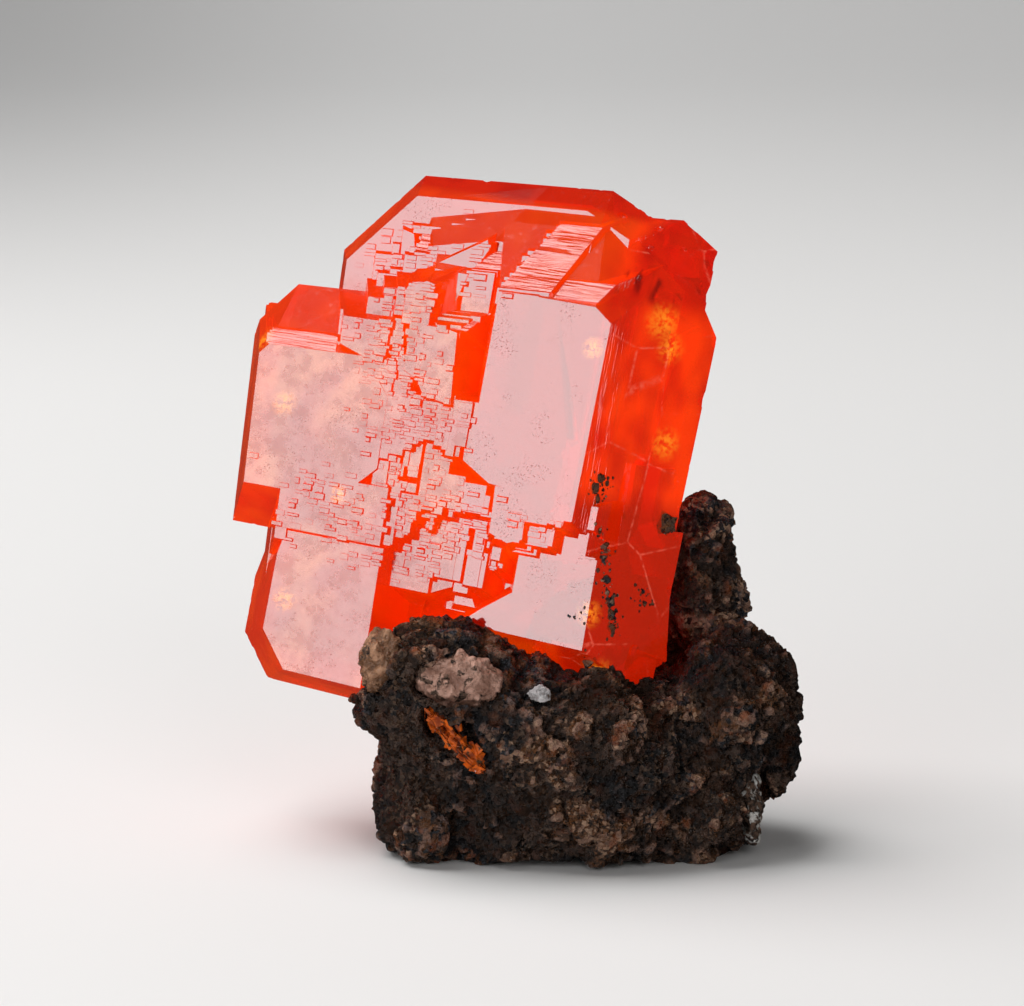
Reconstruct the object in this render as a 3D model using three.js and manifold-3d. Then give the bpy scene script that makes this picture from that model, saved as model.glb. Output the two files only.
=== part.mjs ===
// A wulfenite specimen: one thick, stepped orange-red crystal group grown on a lump of dark
// iron-stained rock, with a little flaky wulfenite, quartz and a white crust on the rock.
// Millimetres, +Z up, the front of the specimen towards -Y. The origin is on the ground,
// under the middle of the whole specimen.

import * as THREE from 'three';
import { mergeVertices } from 'three/addons/utils/BufferGeometryUtils.js';
import Module from 'manifold-3d';

const wasm = await Module();
wasm.setup();

// Driving dimensions

// The crystal's own axes are u (right), v (up) and c (out of the big square faces).
const TURN = THREE.MathUtils.degToRad(18);      // the big faces look this far to the left
const ROLL = THREE.MathUtils.degToRad(9.1);     // the crystal leans clockwise
const LEAN_BACK = THREE.MathUtils.degToRad(12); // the big faces look this far up
const CRYSTAL_PLACE = new THREE.Vector3(-6.83, 1.09, 34.63);
const FLARE_U = 0.0032;                         // the crystal widens to the right and the top
const FLARE_V = 0.0026;
const SLANT = Math.tan(TURN);                   // how far a level moves sideways, seen from the front

// Growth faces fall away from a terrace by this much sideways for each millimetre down.
const STEEP = 0.449;
const GIRDLE = -7.4;                            // level of the widest outline
const BACK = -14.6;                             // level of the back face
const UNDERCUT = -0.5;                          // the back half narrows towards the back face
const STEP_ROOT = -5.2;                         // level down to which the small steps reach
const UNEVEN = 0.3;                             // how irregular the flights of low risers are

const GAP = 0.35;                               // clearance between pieces that touch
const POCKET_GAP = GAP * 1.3;                   // the rock's pocket for the crystal is a little wider
const GRAIN_GAP = GAP * 1.2;
const ROCK_ROUGHNESS = 1.1;
const ROCK_SCALES = [4.5, 2.1, 1.05];           // sizes of the rock's swellings

const WELD = 1e-4;                              // points closer than this are one point
const CRYSTAL_DETAIL = 0.004;                   // features smaller than these are smoothed away
const ROCK_DETAIL = 0.07;

// Solids

function solidOf(positions, triangles) {
  return new wasm.Manifold(new wasm.Mesh({
    numProp: 3,
    vertProperties: Float32Array.from(positions),
    triVerts: Uint32Array.from(triangles),
  }));
}

function solidFromGeometry(geometry) {
  const bare = geometry.clone();
  bare.deleteAttribute('normal');
  bare.deleteAttribute('uv');
  const merged = mergeVertices(bare, WELD);
  return solidOf(merged.attributes.position.array, merged.index.array);
}

function geometryOf(solid) {
  const mesh = solid.getMesh();
  const geometry = new THREE.BufferGeometry();
  geometry.setAttribute('position', new THREE.BufferAttribute(mesh.vertProperties, 3));
  geometry.setIndex(new THREE.BufferAttribute(mesh.triVerts, 1));
  return geometry;
}

// Crystal terraces

// Moves each side of a convex outline outwards by its own amount, and the whole sideways.
function widened(outline, amounts, sideways) {
  const count = outline.length;
  const sides = outline.map(([u, v], i) => {
    const [nextU, nextV] = outline[(i + 1) % count];
    const length = Math.hypot(nextU - u, nextV - v);
    const normal = [(nextV - v) / length, -(nextU - u) / length];
    return { normal, reach: normal[0] * u + normal[1] * v + amounts[i] };
  });
  return sides.map((side, i) => {
    const before = sides[(i + count - 1) % count];
    const cross = before.normal[0] * side.normal[1] - before.normal[1] * side.normal[0];
    const u = (before.reach * side.normal[1] - side.reach * before.normal[1]) / cross;
    const v = (side.reach * before.normal[0] - before.reach * side.normal[0]) / cross;
    return [u + sideways, v];
  });
}

// One growth block: a flat terrace on top and sloping walls below it, in one or more stages.
// A stage falls to the level `to`; its `spread` is one slope for all sides or one for each.
// `extra` makes the block larger all round, for the pocket that the rock leaves it.
// `facet` is three points of a flat growth face that cuts the block off.
function growth({ outline, level, stages, facet }, extra = 0) {
  const count = outline.length;
  const perSide = (value) => (Array.isArray(value) ? value : outline.map(() => value));
  const run = outline.map(() => extra);
  const rings = [{ ring: widened(outline, run, 0), height: level + extra }];
  let height = level;
  stages.forEach(({ to, spread }, index) => {
    perSide(spread).forEach((slope, i) => { run[i] += slope * (height - to); });
    height = to;
    const last = index === stages.length - 1;
    rings.push({
      ring: widened(outline, run, SLANT * (level - height)),
      height: height - (last ? extra : 0),
    });
  });
  const positions = rings.flatMap(({ ring, height: z }) => ring.flatMap(([u, v]) => [u, v, z]));
  const triangles = [];
  for (let i = 1; i < count - 1; i += 1) {
    triangles.push(0, i, i + 1);
    const base = (rings.length - 1) * count;
    triangles.push(base, base + i + 1, base + i);
  }
  for (let j = 0; j < rings.length - 1; j += 1) {
    for (let i = 0; i < count; i += 1) {
      const next = (i + 1) % count;
      const [upper, upperNext] = [j * count + i, j * count + next];
      const [lower, lowerNext] = [upper + count, upperNext + count];
      triangles.push(upper, lower, lowerNext, upper, lowerNext, upperNext);
    }
  }
  const block = solidOf(positions, triangles);
  return facet ? cutByFacet(block, facet, extra) : block;
}

function cutByFacet(block, facet, extra) {
  const plane = new THREE.Plane().setFromCoplanarPoints(...facet.map((p) => new THREE.Vector3(...p)));
  return block.trimByPlane(plane.normal.toArray(), -plane.constant - extra);
}

// The large striated face at the lower right; points as seen, the crystal lies on its inner side.
const LOWER_RIGHT_FACET = [[15.5, -5.2, -1.1], [22.5, -13.3, -8.2], [15.8, -14.8, -1.1]];

const rectangle = (left, right, low, high) => [[left, low], [right, low], [right, high], [left, high]];
const fullDepth = (spread = STEEP) => [{ to: GIRDLE, spread }, { to: BACK, spread: UNDERCUT }];

// Outlines are given as they show from the front at their own level.
const mainBlocks = [
  { // rear plate, whose pane shows at the upper left
    outline: [[-9.9, 0], [13.2, 0], [13.2, 17.4], [9.6, 19.25], [-4.4, 19.4], [-9.85, 13.9]],
    level: -3.5, stages: fullDepth([STEEP, STEEP, STEEP, STEEP, 0.48, STEEP]),
  },
  { // left block with a shallow striated slope on top
    outline: [[-16.8, -6.3], [-7.6, -6.3], [-4.3, -3.1], [-4.3, 3.0], [-6.9, 6.1], [-15.9, 6.1], [-16.8, 5.2]],
    level: 1.0,
    stages: [
      { to: -3.3, spread: [STEEP, STEEP, STEEP, STEEP, 1.25, 0.8, STEEP] },
      { to: GIRDLE, spread: [STEEP, STEEP, STEEP, STEEP, -0.1, 0.1, STEEP] },
      { to: BACK, spread: UNDERCUT },
    ],
  },
  { // strip under the left block
    outline: rectangle(-13.1, -3.0, -9.7, -4.6), level: 1.0, stages: fullDepth(),
  },
  { // its left end reaches lower
    outline: rectangle(-13.1, -12.0, -10.8, -5), level: 0.95, stages: fullDepth(),
  },
  { // lower left block
    outline: [[-10.5, -22.8], [-2.8, -22.8], [-2.8, -9.9], [-12.0, -9.9], [-12.6, -12.2], [-13.05, -19.4]],
    level: 0.75, stages: fullDepth([0.18, STEEP, STEEP, 0.5, 0.58, 0.54]),
  },
  { // ledge at the left of the lower left block
    outline: rectangle(-13.6, -8, -14.6, -9), level: -2.6, stages: fullDepth(),
  },
  { // right terrace, upper part with the long top slope
    outline: [[6.7, -4.7], [12.95, -4.7], [13.0, 11.0], [11.6, 12.1], [6.7, 12.4]],
    level: 0.75,
    stages: [
      { to: -1.7, spread: [STEEP, STEEP, 0.9, 1.45, STEEP] },
      { to: -4.3, spread: [STEEP, 0.9, 0.9, 1.4, STEEP] },
    ],
  },
  { // right shoulder, one large slope down to the girdle
    outline: [[10, -5.5], [14.8, -5.5], [14.7, 10.6], [13.4, 12.6], [10, 12.6]],
    level: -1.9, stages: fullDepth([0.3, 0.85, 0.75, 0.9, STEEP]),
  },
  { // upper right lobe
    outline: [[10, 12.0], [14.4, 12.0], [14.4, 17.0], [13.4, 17.7], [10, 17.7]],
    level: -4.5, stages: [{ to: -8.3, spread: [STEEP, 1.12, 0.7, 0.42, STEEP] }, { to: BACK, spread: -0.6 }],
  },
  { // lower right block
    outline: [[9.2, -15.0], [16.5, -15.1], [16.4, -7.4], [9.2, -7.8]],
    level: -1.1,
    stages: [{ to: -8.2, spread: STEEP }, { to: BACK, spread: -0.55 }],
    facet: LOWER_RIGHT_FACET,
  },
  { // lower right block, the tongue to its left
    outline: [[5.2, -14.9], [10, -15.0], [10, -11], [9.0, -11.6], [6.8, -13.4]],
    level: -1.1, stages: [{ to: -8.2, spread: STEEP }, { to: BACK, spread: -0.3 }],
  },
  { // big flat facet at the lower right, meeting the shoulder in a ridge
    outline: [[17.15, -13.4], [23.6, -13.4], [21.0, 0.6], [16.75, 0.6]],
    level: -2.5, stages: [{ to: BACK, spread: [0.2, -0.5, 0.05, 0.1] }],
    facet: LOWER_RIGHT_FACET,
  },
  { // middle, under all the small steps
    outline: rectangle(-6, 12, -14, 14), level: -3.2, stages: fullDepth(),
  },
];

// [left, right, low, high, level] of each rectangular terrace step.
const centreSteps = [
  [-5.8, 0.45, 0.0, 3.4, 0.97], [0.4, 1.2, -0.35, 3.4, 0.97], [1.1, 1.6, -0.6, 3.9, 0.95],
  [1.5, 2.2, -1.05, 3.6, 0.93], [2.1, 3.1, -0.12, 3.6, 0.92], [2.15, 2.7, -1.0, 0, 0.7],
  [2.0, 3.15, 1.5, 3.45, 1.0], [-4.5, -3.5, -2.15, 1, 0.93], [-3.6, -2.25, -1.65, 1, 0.93],
  [-2.3, -1.55, -1.1, 1, 0.93], [-1.7, -1.0, -0.45, 1, 0.93], [-1.2, -0.6, -0.2, 1, 0.9],
  [-2.05, -1.6, -2.5, -0.9, 0.6], [-3.6, -2.35, -4.9, -1.9, 0.62], [-4.6, -3.3, -4.9, -2.35, 0.8],
  [-1.5, -0.6, -3.3, -0.5, 0.5], [-1.2, -0.55, -2.1, -0.45, 0.52], [-2.3, -1.9, -3.4, -2.4, 0.55],
  [-0.25, 0.3, -5.95, -0.3, 0.36], [0.3, 1.15, -5.9, -0.7, 0.36], [1.1, 2.05, -6.05, -1.25, 0.36],
  [2.0, 3.6, -5.4, -2.55, 0.38], [3.3, 5.5, -5.4, -3.0, 0.38], [5.2, 5.95, -5.35, -3.8, 0.36],
  [2.95, 3.5, -3.3, -2.75, 0.46], [-1.9, -0.55, -4.6, -3.85, 0.5], [-2.1, -0.1, -6.9, -4.8, 0.42],
  [-2.1, -0.5, -8.1, -6.5, 0.42], [-3.2, -1.9, -9.4, -4.0, 0.62], [-2.6, -1.0, -8.6, -7.9, 0.3],
  [1.15, 1.42, -7.5, -5.5, 0.0], [0.15, 1.1, -6.5, -5.5, -0.1], [2.65, 3.0, -6.1, -5, 0.1],
  [2.6, 4.0, -5.6, -5, 0.2],
];
const lowerSteps = [
  [0.0, 4.6, -11.4, -5.8, -0.8], [1.6, 3.9, -11.4, -5.7, -0.76], [3.2, 6.1, -6.7, -5.9, -0.85],
  [5.2, 6.15, -11.6, -6.75, -0.65], [4.9, 6.6, -11.6, -8.6, -0.72], [-1.7, 1.95, -13.0, -8.9, -0.85],
  [-2.3, 0.8, -11.8, -8.9, -0.8], [-2.1, -1.5, -13.4, -10, -0.95], [-3.0, -2.65, -10.6, -9.5, 0.3],
  [4.15, 5.4, -12.35, -11, -1.2], [6.2, 6.85, -9.6, -8.5, -1.0], [6.9, 7.65, -9.0, -7.3, -0.9],
  [7.0, 7.4, -9.9, -8.8, -1.2], [7.6, 8.0, -9.6, -8.4, -1.4], [-2.0, -0.9, -14.4, -13.7, -2.6],
  [6.1, 6.6, -8.1, -6.7, -0.95], [1.5, 1.75, -10.2, -8.7, -0.66], [-1.4, -0.6, -11.7, -10.0, -0.7],
];
const rightSteps = [
  [6.9, 9.0, -7.2, -3.5, 0.7], [8.8, 11.0, -5.35, -3, 0.75], [10.8, 12.3, -5.15, -3, 0.75],
  [11.9, 12.9, -4.75, -3, 0.75], [9.3, 11.75, -7.0, -4.5, 0.05], [9.3, 11.4, -7.2, -6, 0.02],
  [8.3, 10.1, -7.7, -6.5, -0.3], [8.6, 10.6, -8.0, -7, -0.65], [12.5, 14.55, -8.5, -5.4, -1.1],
  [12.0, 12.7, -8.5, -7.05, -1.1], [14.4, 15.4, -8.5, -7.3, -1.15], [13.9, 14.85, -5.1, -3.2, -1.0],
  [10.6, 12.1, -8.5, -7.7, -1.1],
];
const leftSteps = [
  [-4.9, -3.85, 6.6, 9.5, 0.75], [-4.5, -3.5, 6.05, 7.2, 0.75], [-7.35, -4.95, 9.6, 11.0, 0.0],
  [-4.85, -4.1, 9.8, 12.05, 0.55], [-6.0, -4.8, 11.3, 11.9, 0.1], [-5.3, -4.2, 4.9, 6.2, 0.95],
  [-5.2, -4.1, 2.9, 5.4, 0.95], [-3.9, -3.3, 1.6, 6.0, 0.9], [-3.6, -2.7, 1.0, 6.6, 1.0],
  [-3.3, -2.1, 4.9, 5.5, 1.05], [-3.4, -2.5, 2.0, 5.0, 0.85], [-2.8, -2.2, 3.3, 3.7, 0.75],
  [-6.5, -4, 4.2, 6.0, 1.05], [-7.0, -6.2, 5.6, 6.1, 1.05], [-11.9, -8.6, -10.0, -9.7, 0.6],
];
const topSteps = [
  [-6.85, -2.2, 12.0, 13.05, -2.2], [-4.7, -1.8, 12.6, 14.72, -2.3], [-5.5, -4.7, 13.0, 13.45, -2.4],
  [-7.3, -5.0, 12.5, 14.6, -2.9], [-5.9, -5.3, 14.3, 15.5, -3.1], [-4.3, -2.0, 16.5, 17.1, -3.0],
  [-1.1, 1.6, 16.5, 17.5, -3.1], [0.0, 2.3, 17.0, 17.95, -3.25], [3.4, 7.0, 17.4, 18.25, -3.4],
  [2.0, 5.5, 16.0, 16.85, -2.75], [2.4, 4.9, 15.2, 16.0, -2.25], [0.8, 3.15, 10.5, 13.9, -1.0],
  [8.6, 12.9, 12.8, 13.6, -1.3], [8.8, 12.9, 13.5, 14.25, -1.9],
];

// A flight of low, uneven risers: the steps march up the v axis and their ends drift sideways.
function flight({ count, left, right, low, rise, level, fall, drift, driftRight }) {
  return Array.from({ length: count }, (_, i) => {
    const uneven = (what) => UNEVEN * latticeValue(i, what, count);
    const top = low + rise * (i + 1 + uneven(0));
    return [
      left + drift * i + uneven(1), right + driftRight * i + uneven(2),
      top - 3 * rise, top, level - fall * (i + uneven(3)),
    ];
  });
}
const flights = [
  { // the broad pale strip
    count: 13, left: 3.5, right: 7.6, low: 12.45, rise: 0.415, level: 0.7, fall: 0.272,
    drift: 0.31, driftRight: 0.25,
  },
  { // small slope above the pale step
    count: 6, left: 1.2, right: 3.3, low: 13.8, rise: 0.36, level: -1.25, fall: 0.25,
    drift: 0.24, driftRight: 0.3,
  },
  { // striated slope at the upper left
    count: 6, left: -3.9, right: -1.6, low: 14.75, rise: 0.3, level: -2.45, fall: 0.13,
    drift: 0.12, driftRight: 0.52,
  },
  { // low risers at the top of the left block
    count: 4, left: -16.2, right: -9.6, low: 6.0, rise: 0.33, level: 0.85, fall: 0.2,
    drift: 0.1, driftRight: 0.0,
  },
  { // striated wall above the tall block
    count: 4, left: -1.3, right: 1.4, low: 9.15, rise: 0.38, level: 1.1, fall: 0.62,
    drift: 0.25, driftRight: 0.42,
  },
].flatMap(flight);

const angledBlocks = [
  { outline: [[-9.3, 6.9], [-6.8, 6.0], [-5.05, 6.0], [-5.05, 9.1], [-9.3, 9.2]], level: 1.05 },
  { outline: [[-9.6, 6.4], [-7.3, 6.0], [-7.3, 9.6], [-9.7, 9.75]], level: -0.2,
    stages: [{ to: -3.6, spread: [STEEP, STEEP, 0.5, STEEP] }] },
  { outline: [[-1.2, 3.55], [1.25, 3.1], [0.85, 8.9], [-0.2, 9.15], [-1.8, 9.2], [-1.8, 4.5]], level: 1.35 },
  { outline: [[-3.2, 5.4], [-1.7, 4.7], [-1.7, 12.5], [-2.4, 12.7], [-3.4, 12.3]], level: 1.2 },
  { outline: [[-4.05, 9.2], [-1.9, 9.2], [-2.1, 12.7], [-3.6, 12.5], [-4.05, 12.0]], level: 1.1,
    stages: [{ to: -1.4, spread: [STEEP, 0.8, 0.5, 0.5, STEEP] }] },
  { outline: [[-2.2, 11.2], [0.2, 11.2], [0.95, 13.6], [-1.9, 13.8]], level: -0.9,
    stages: [{ to: -4.2, spread: [STEEP, 0.3, 0.9, STEEP] }] },
  { outline: [[-1.2, 12.6], [0.9, 12.9], [2.35, 15.7], [2.1, 16.4], [-1.9, 14.2]], level: -1.5,
    stages: [{ to: -4.2, spread: [STEEP, STEEP, STEEP, 0.4, STEEP] }] },
  { outline: [[3.1, -1.2], [5.6, -2.75], [7, -2.9], [7, 3.6], [3.1, 3.6]], level: 0.75 },
  { outline: [[3.65, 3.4], [7, 3.4], [7, 12.45], [3.75, 12.5], [3.75, 10.4]], level: 0.75,
    stages: [{ to: -3.4, spread: [STEEP, STEEP, 1.45, STEEP, STEEP] }] },
  { outline: [[6.4, -6.8], [8.0, -7.4], [9.2, -6.9], [9, -2.5], [6.2, -2.9]], level: 0.7 },
  { outline: [[-2.6, 14.6], [11.0, 14.0], [10.4, 16.2], [2.6, 16.4], [-2.4, 15.6]], level: -2.3,
    stages: [{ to: -4.3, spread: [STEEP, 0.7, 2.25, 1.95, 1.1] }] },
  { outline: [[-5.0, 12.6], [-3.4, 12.6], [-4.2, 16.4], [-5.2, 16.7]], level: -2.95 },
  { outline: [[2.0, -13.0], [4.0, -12.0], [4.0, -11.4], [2.0, -11.4]], level: -1.25 },
  { outline: [[6.6, -11.5], [7.1, -11.5], [7.1, -9.9], [6.6, -9.9]], level: -2.2 },
  { outline: [[4.4, -13.4], [6.3, -13.4], [5.6, -12.1], [4.4, -12.1]], level: -2.0 },
];

const fineBlocks = [
  ...[...centreSteps, ...lowerSteps, ...rightSteps, ...leftSteps, ...topSteps, ...flights]
    .map(([left, right, low, high, level]) => ({
      outline: rectangle(left, right, low, high), level, stages: [{ to: STEP_ROOT, spread: STEEP }],
    })),
  ...angledBlocks.map((block) => ({ stages: [{ to: STEP_ROOT, spread: STEEP }], ...block })),
];

// The two ranges that lie behind the rock's front lip, so that its pocket clears them.
const blocksInPocket = [
  ...mainBlocks,
  { outline: rectangle(-2.4, 6.7, -14.0, -5.0), level: -0.6, stages: fullDepth() },
];

const joined = (solids) => wasm.Manifold.union(solids);
// The outer skin alone: cuts can leave crumbs, and blocks can close in a hidden hole.
const largest = (solid) => solid.decompose().sort((a, b) => b.volume() - a.volume())[0];
const flared = (solid) => solid.warp((point) => {
  const widen = 1 / (1 - FLARE_U * point[0] - FLARE_V * point[1]);
  point[0] = point[0] * widen + SLANT * point[2];
  point[1] *= widen;
});

const crystalAxes = new THREE.Group();
crystalAxes.position.copy(CRYSTAL_PLACE);
crystalAxes.rotation.set(Math.PI / 2 - LEAN_BACK, -TURN, -ROLL, 'XZY');
crystalAxes.updateMatrix();

function crystalSolid() {
  const blocks = [...mainBlocks, ...fineBlocks].map((block) => growth(block));
  return largest(flared(joined(blocks)).simplify(CRYSTAL_DETAIL));
}

function crystalPocket() {
  const pocket = flared(joined(blocksInPocket.map((block) => growth(block, POCKET_GAP))));
  return pocket.transform(crystalAxes.matrix.elements);
}

// Rock

// Smooth pseudo-random values between -1 and 1 that vary from point to point.
function latticeValue(i, j, k) {
  let hash = Math.imul(i, 374761393) ^ Math.imul(j, 668265263) ^ Math.imul(k, 1274126177);
  hash = Math.imul(hash ^ (hash >>> 13), 1103515245);
  return (((hash ^ (hash >>> 16)) >>> 0) / 4294967295) * 2 - 1;
}
function noise(point) {
  const cell = point.clone().floor();
  const part = point.clone().sub(cell);
  const ease = (t) => t * t * (3 - 2 * t);
  const [tx, ty, tz] = [ease(part.x), ease(part.y), ease(part.z)];
  const mix = THREE.MathUtils.lerp;
  const along = (j, k) => mix(
    latticeValue(cell.x, cell.y + j, cell.z + k), latticeValue(cell.x + 1, cell.y + j, cell.z + k), tx);
  return mix(mix(along(0, 0), along(1, 0), ty), mix(along(0, 1), along(1, 1), ty), tz);
}
function roughness(point) {
  return ROCK_SCALES.reduce((sum, scale, i) => (
    sum + noise(point.clone().divideScalar(scale).addScalar(31 * i)) * 0.55 ** i), 0);
}

function lump({ centre, radii, detail, rough = ROCK_ROUGHNESS }) {
  const ball = new THREE.IcosahedronGeometry(1, detail);
  ball.deleteAttribute('normal');
  ball.deleteAttribute('uv');
  const geometry = mergeVertices(ball, WELD);
  const place = geometry.attributes.position;
  const point = new THREE.Vector3();
  const outward = new THREE.Vector3();
  for (let i = 0; i < place.count; i += 1) {
    outward.fromBufferAttribute(place, i);
    point.copy(outward).multiply(radii).add(centre);
    point.addScaledVector(outward, rough * roughness(point));
    place.setXYZ(i, point.x, point.y, point.z);
  }
  return solidFromGeometry(geometry);
}

const vec = (x, y, z) => new THREE.Vector3(x, y, z);
const rockLumps = [
  { centre: vec(4.5, 2.0, 6.6), radii: vec(15.8, 12.6, 10.6), detail: 7 },
  { centre: vec(-5.6, -3.8, 14.0), radii: vec(7.6, 6.0, 6.6), detail: 5 },
  { centre: vec(4.0, -4.2, 10.6), radii: vec(9.0, 6.4, 6.6), detail: 4 },
  { centre: vec(18.4, 2.0, 11.2), radii: vec(6.3, 8.4, 7.4), detail: 5 },
  { centre: vec(16.0, 6.2, 21.0), radii: vec(3.5, 4.4, 7.6), detail: 4 },
  { centre: vec(10.5, 9.5, 14.0), radii: vec(7.4, 5.4, 7.0), detail: 4 },
  { centre: vec(-7.0, -2.4, 3.4), radii: vec(4.2, 5.6, 4.6), detail: 4 },
  { centre: vec(16.2, -2.0, 3.6), radii: vec(4.6, 5.6, 4.4), detail: 4 },
];
const FLOOR_BLOCK = 80;

function floorCutter() {
  const box = new THREE.BoxGeometry(FLOOR_BLOCK, FLOOR_BLOCK, FLOOR_BLOCK);
  box.translate(0, 0, -FLOOR_BLOCK / 2);
  return solidFromGeometry(box);
}

// Small grains on the rock

// Thin square plates that stand out of the rock in one tuft.
const flakes = [
  { at: [-5.9, -8.9, 13.2], turn: 35, tip: 20, size: 2.2, thick: 0.7 },
  { at: [-5.1, -9.3, 12.4], turn: -20, tip: -25, size: 2.6, thick: 0.6 },
  { at: [-4.4, -9.4, 11.4], turn: 15, tip: 35, size: 2.6, thick: 0.8 },
  { at: [-3.7, -9.3, 10.6], turn: 50, tip: -10, size: 2.3, thick: 0.6 },
  { at: [-3.3, -9.2, 9.8], turn: -35, tip: 28, size: 1.8, thick: 0.6 },
  { at: [-5.4, -8.9, 11.9], turn: 70, tip: 12, size: 2.2, thick: 0.7 },
  { at: [-4.2, -8.9, 10.4], turn: -60, tip: 5, size: 2.1, thick: 0.7 },
];
function flakeSolid({ at, turn, tip, size, thick }, extra = 0) {
  const plate = new THREE.BoxGeometry(size + extra * 2, size + extra * 2, thick + extra * 2);
  const pose = new THREE.Euler(
    THREE.MathUtils.degToRad(60 + tip), THREE.MathUtils.degToRad(turn), THREE.MathUtils.degToRad(turn / 2));
  plate.applyMatrix4(new THREE.Matrix4().makeRotationFromEuler(pose).setPosition(...at));
  return solidFromGeometry(plate);
}
const tuft = (extra) => joined(flakes.map((flake) => flakeSolid(flake, extra)));

const grains = {
  quartz_knob: { centre: vec(-11.2, -5.6, 17.4), radii: vec(1.9, 2.2, 3.0), detail: 3, rough: 0.25 },
  quartz_lens: { centre: vec(-4.3, -8.9, 16.4), radii: vec(3.1, 1.6, 1.9), detail: 3, rough: 0.25 },
  white_grain: { centre: vec(2.3, -9.4, 15.4), radii: vec(0.85, 0.9, 0.7), detail: 1, rough: 0.1 },
  white_crust: { centre: vec(20.6, -3.2, 4.2), radii: vec(1.9, 2.8, 2.6), detail: 3, rough: 0.35 },
};
const enlarged = (grain) => ({ ...grain, radii: grain.radii.clone().addScalar(GRAIN_GAP) });

function rockSolid() {
  const body = joined(rockLumps.map(lump));
  const pockets = [
    crystalPocket(), tuft(GAP), floorCutter(), ...Object.values(grains).map((grain) => lump(enlarged(grain))),
  ];
  return largest(body.subtract(joined(pockets)).simplify(ROCK_DETAIL));
}

// Pieces and finishes

const finish = {
  wulfenite: new THREE.MeshStandardMaterial({ color: 0xe2380e, roughness: 0.12, metalness: 0 }),
  paleWulfenite: new THREE.MeshStandardMaterial({ color: 0xb85a30, roughness: 0.3, metalness: 0 }),
  rock: new THREE.MeshStandardMaterial({ color: 0x35241b, roughness: 0.85, metalness: 0 }),
  quartz: new THREE.MeshStandardMaterial({ color: 0xa87f62, roughness: 0.35, metalness: 0 }),
  crust: new THREE.MeshStandardMaterial({ color: 0xd9d4cf, roughness: 0.6, metalness: 0 }),
};

function piece(name, solid, material) {
  const mesh = new THREE.Mesh(geometryOf(solid), material);
  mesh.name = name;
  return mesh;
}

const specimen = new THREE.Group();
crystalAxes.add(piece('wulfenite_crystal', crystalSolid(), finish.wulfenite));
specimen.add(crystalAxes);
specimen.add(piece('matrix', rockSolid(), finish.rock));
specimen.add(piece('small_wulfenite', tuft(0), finish.paleWulfenite));
for (const [name, grain] of Object.entries(grains)) {
  specimen.add(piece(name, lump(grain), name.startsWith('white') ? finish.crust : finish.quartz));
}

// The origin goes under the middle of the specimen.
specimen.updateMatrixWorld(true);
const middle = new THREE.Box3().setFromObject(specimen, true).getCenter(new THREE.Vector3());
const whole = new THREE.Group();
specimen.position.set(-middle.x, -middle.y, 0);
whole.add(specimen);

export default whole;
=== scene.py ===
# %% [markdown]
# A wulfenite specimen: one stepped, glassy, orange-red crystal group on a lump of dark rock.
# The solid model comes in as a fixed frame, and every piece below is finished on top of it.
# %% Load the frame
import math

import bmesh
import bpy
import numpy as np
from mathutils import Matrix, Vector
from mathutils.bvhtree import BVHTree


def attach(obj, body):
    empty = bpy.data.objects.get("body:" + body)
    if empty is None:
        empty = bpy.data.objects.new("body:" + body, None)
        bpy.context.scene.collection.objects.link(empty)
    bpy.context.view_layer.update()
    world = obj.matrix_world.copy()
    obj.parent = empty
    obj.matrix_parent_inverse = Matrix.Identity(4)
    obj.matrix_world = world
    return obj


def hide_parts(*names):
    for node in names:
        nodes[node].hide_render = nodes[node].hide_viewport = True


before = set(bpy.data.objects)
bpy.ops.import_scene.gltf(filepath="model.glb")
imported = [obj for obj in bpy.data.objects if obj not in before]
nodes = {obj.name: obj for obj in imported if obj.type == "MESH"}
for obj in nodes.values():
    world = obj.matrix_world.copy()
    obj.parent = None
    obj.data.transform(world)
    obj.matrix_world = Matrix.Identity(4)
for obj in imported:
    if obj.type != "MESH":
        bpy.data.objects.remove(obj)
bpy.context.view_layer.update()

MM = 0.001
print("nodes:", sorted(nodes))

# %% [markdown]
# The camera stands 600 mm away and looks down on the specimen by 12 degrees, with a long lens,
# as for a portrait of a mineral. A long lens keeps the square crystal faces square.
# %% Camera
VIEW_TARGET = Vector((-0.56, -5.08, 29.5)) * MM
VIEW_DISTANCE = 600 * MM
VIEW_DOWN = math.radians(12)
LENS = 253.125          # focal length and sensor width, in millimetres
SENSOR_WIDTH = 36

camera_data = bpy.data.cameras.new("camera")
camera_data.lens = LENS
camera_data.sensor_width = SENSOR_WIDTH
camera_data.clip_start = 10 * MM
camera = bpy.data.objects.new("camera", camera_data)
away = Vector((0, -math.cos(VIEW_DOWN), math.sin(VIEW_DOWN)))
camera.location = VIEW_TARGET + away * VIEW_DISTANCE
camera.rotation_euler = (math.radians(90) - VIEW_DOWN, 0, 0)
bpy.context.scene.collection.objects.link(camera)
bpy.context.scene.camera = camera
print("camera at", tuple(round(x, 3) for x in camera.location))

# %% [markdown]
# Small helpers come first: they make a mesh object from arrays, read and set a mesh's points,
# and copy a solid of the frame with its loose triangles joined.
# %% Helpers
def object_from_arrays(name, points, faces, smooth=True):
    """An object whose mesh has these points and faces."""
    mesh = bpy.data.meshes.new(name)
    mesh.from_pydata(points.tolist(), [], faces.tolist())
    mesh.update()
    mesh.polygons.foreach_set("use_smooth", np.full(len(mesh.polygons), smooth))
    made = bpy.data.objects.new(name, mesh)
    bpy.context.scene.collection.objects.link(made)
    return made


def values_of(items, name):
    """One vector property of all points or faces of a mesh, as an array with a row for each."""
    flat = np.zeros(len(items) * 3, dtype=np.float32)
    items.foreach_get(name, flat)
    return flat.reshape(-1, 3).astype(float)


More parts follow.
